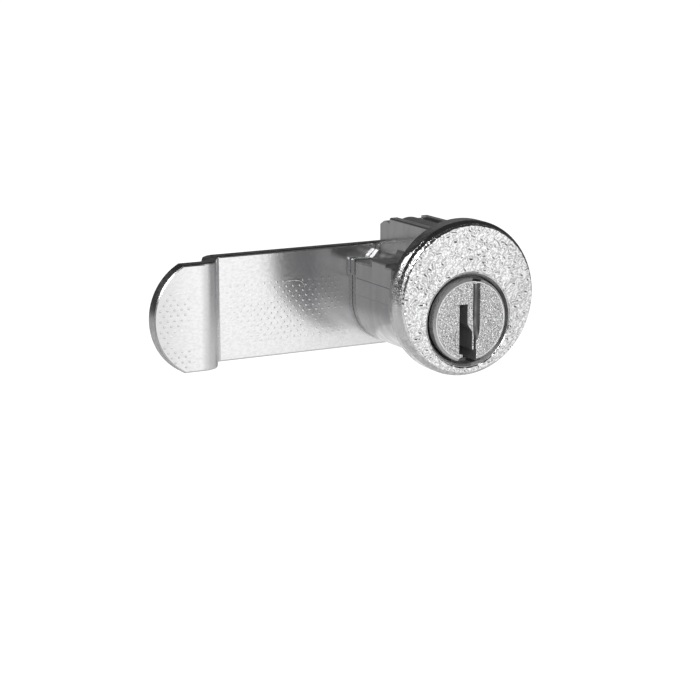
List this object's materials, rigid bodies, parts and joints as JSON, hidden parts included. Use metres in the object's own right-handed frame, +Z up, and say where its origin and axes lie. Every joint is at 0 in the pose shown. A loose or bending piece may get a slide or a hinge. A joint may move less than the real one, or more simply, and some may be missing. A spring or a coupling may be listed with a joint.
{
  "type": "mailbox lock",
  "caption": "Round-faced pin tumbler mailbox lock with a turning plug, a riveted rear plate and a long offset sheet-metal cam.",
  "frame": {"origin": "on the plug's axis, in the plane of the flange's back face, which lies on the door", "axes": "+Y into the door along the plug's axis, +Z up towards the pin chambers, +X to the right seen from the front; the cam points along -X at rest"},
  "size_m": [0.0554, 0.0279, 0.0237],
  "materials": {
    "plated_casting": "nickel-plated zinc die casting: coarse cast texture on the face, polished rim, satin body",
    "plated_plug": "nickel-plated plug: fine grain on the face, polished bevel",
    "plated_sheet": "bright plated sheet steel with a faint stamped dot pattern",
    "pressed_steel": "plated pressed steel, smooth",
    "screw_steel": "zinc-plated screw steel",
    "pin_brass": "turned brass",
    "spring_wire": "drawn spring wire"
  },
  "bodies": {
    "lock_body": {"housing": "plated_casting", "chamber_cover": "pressed_steel", "rear_plate": "pressed_steel", "plate_rivets": "pressed_steel", "pin_spring_1": "spring_wire", "pin_spring_2": "spring_wire", "pin_spring_3": "spring_wire", "pin_spring_4": "spring_wire", "pin_spring_5": "spring_wire"},
    "plug_and_cam": {"plug": "plated_plug", "cam": "plated_sheet", "lock_washer": "pressed_steel", "cam_screw": "screw_steel"},
    "driver_1": {"driver_pin_1": "pin_brass"},
    "driver_2": {"driver_pin_2": "pin_brass"},
    "driver_3": {"driver_pin_3": "pin_brass"},
    "driver_4": {"driver_pin_4": "pin_brass"},
    "driver_5": {"driver_pin_5": "pin_brass"},
    "key_pin_body_1": {"key_pin_1": "pin_brass"},
    "key_pin_body_2": {"key_pin_2": "pin_brass"},
    "key_pin_body_3": {"key_pin_3": "pin_brass"},
    "key_pin_body_4": {"key_pin_4": "pin_brass"},
    "key_pin_body_5": {"key_pin_5": "pin_brass"}
  },
  "joints": [
    {"name": "plug_turn", "type": "hinge", "parent": "lock_body", "child": "plug_and_cam", "pos_m": [0, 0, 0], "axis": [0, 1, 0], "range_deg": [0, 90]},
    {"name": "driver_slide_1", "type": "slide", "parent": "lock_body", "child": "driver_1", "axis": [0, 0, 1], "range_m": [0, 0.0015], "stiffness_N_per_m": 100, "springref_m": -0.002, "deforming": ["pin_spring_1"]},
    {"name": "driver_slide_2", "type": "slide", "parent": "lock_body", "child": "driver_2", "axis": [0, 0, 1], "range_m": [0, 0.0015], "stiffness_N_per_m": 100, "springref_m": -0.002, "deforming": ["pin_spring_2"]},
    {"name": "driver_slide_3", "type": "slide", "parent": "lock_body", "child": "driver_3", "axis": [0, 0, 1], "range_m": [0, 0.0015], "stiffness_N_per_m": 100, "springref_m": -0.002, "deforming": ["pin_spring_3"]},
    {"name": "driver_slide_4", "type": "slide", "parent": "lock_body", "child": "driver_4", "axis": [0, 0, 1], "range_m": [0, 0.0015], "stiffness_N_per_m": 100, "springref_m": -0.002, "deforming": ["pin_spring_4"]},
    {"name": "driver_slide_5", "type": "slide", "parent": "lock_body", "child": "driver_5", "axis": [0, 0, 1], "range_m": [0, 0.0015], "stiffness_N_per_m": 100, "springref_m": -0.002, "deforming": ["pin_spring_5"]},
    {"name": "key_pin_slide_1", "type": "slide", "parent": "plug_and_cam", "child": "key_pin_body_1", "axis": [0, 0, 1], "range_m": [-0.00236, 0]},
    {"name": "key_pin_slide_2", "type": "slide", "parent": "plug_and_cam", "child": "key_pin_body_2", "axis": [0, 0, 1], "range_m": [-0.00156, 0]},
    {"name": "key_pin_slide_3", "type": "slide", "parent": "plug_and_cam", "child": "key_pin_body_3", "axis": [0, 0, 1], "range_m": [-0.00206, 0]},
    {"name": "key_pin_slide_4", "type": "slide", "parent": "plug_and_cam", "child": "key_pin_body_4", "axis": [0, 0, 1], "range_m": [-0.00116, 0]},
    {"name": "key_pin_slide_5", "type": "slide", "parent": "plug_and_cam", "child": "key_pin_body_5", "axis": [0, 0, 1], "range_m": [-0.00186, 0]}
  ]
}
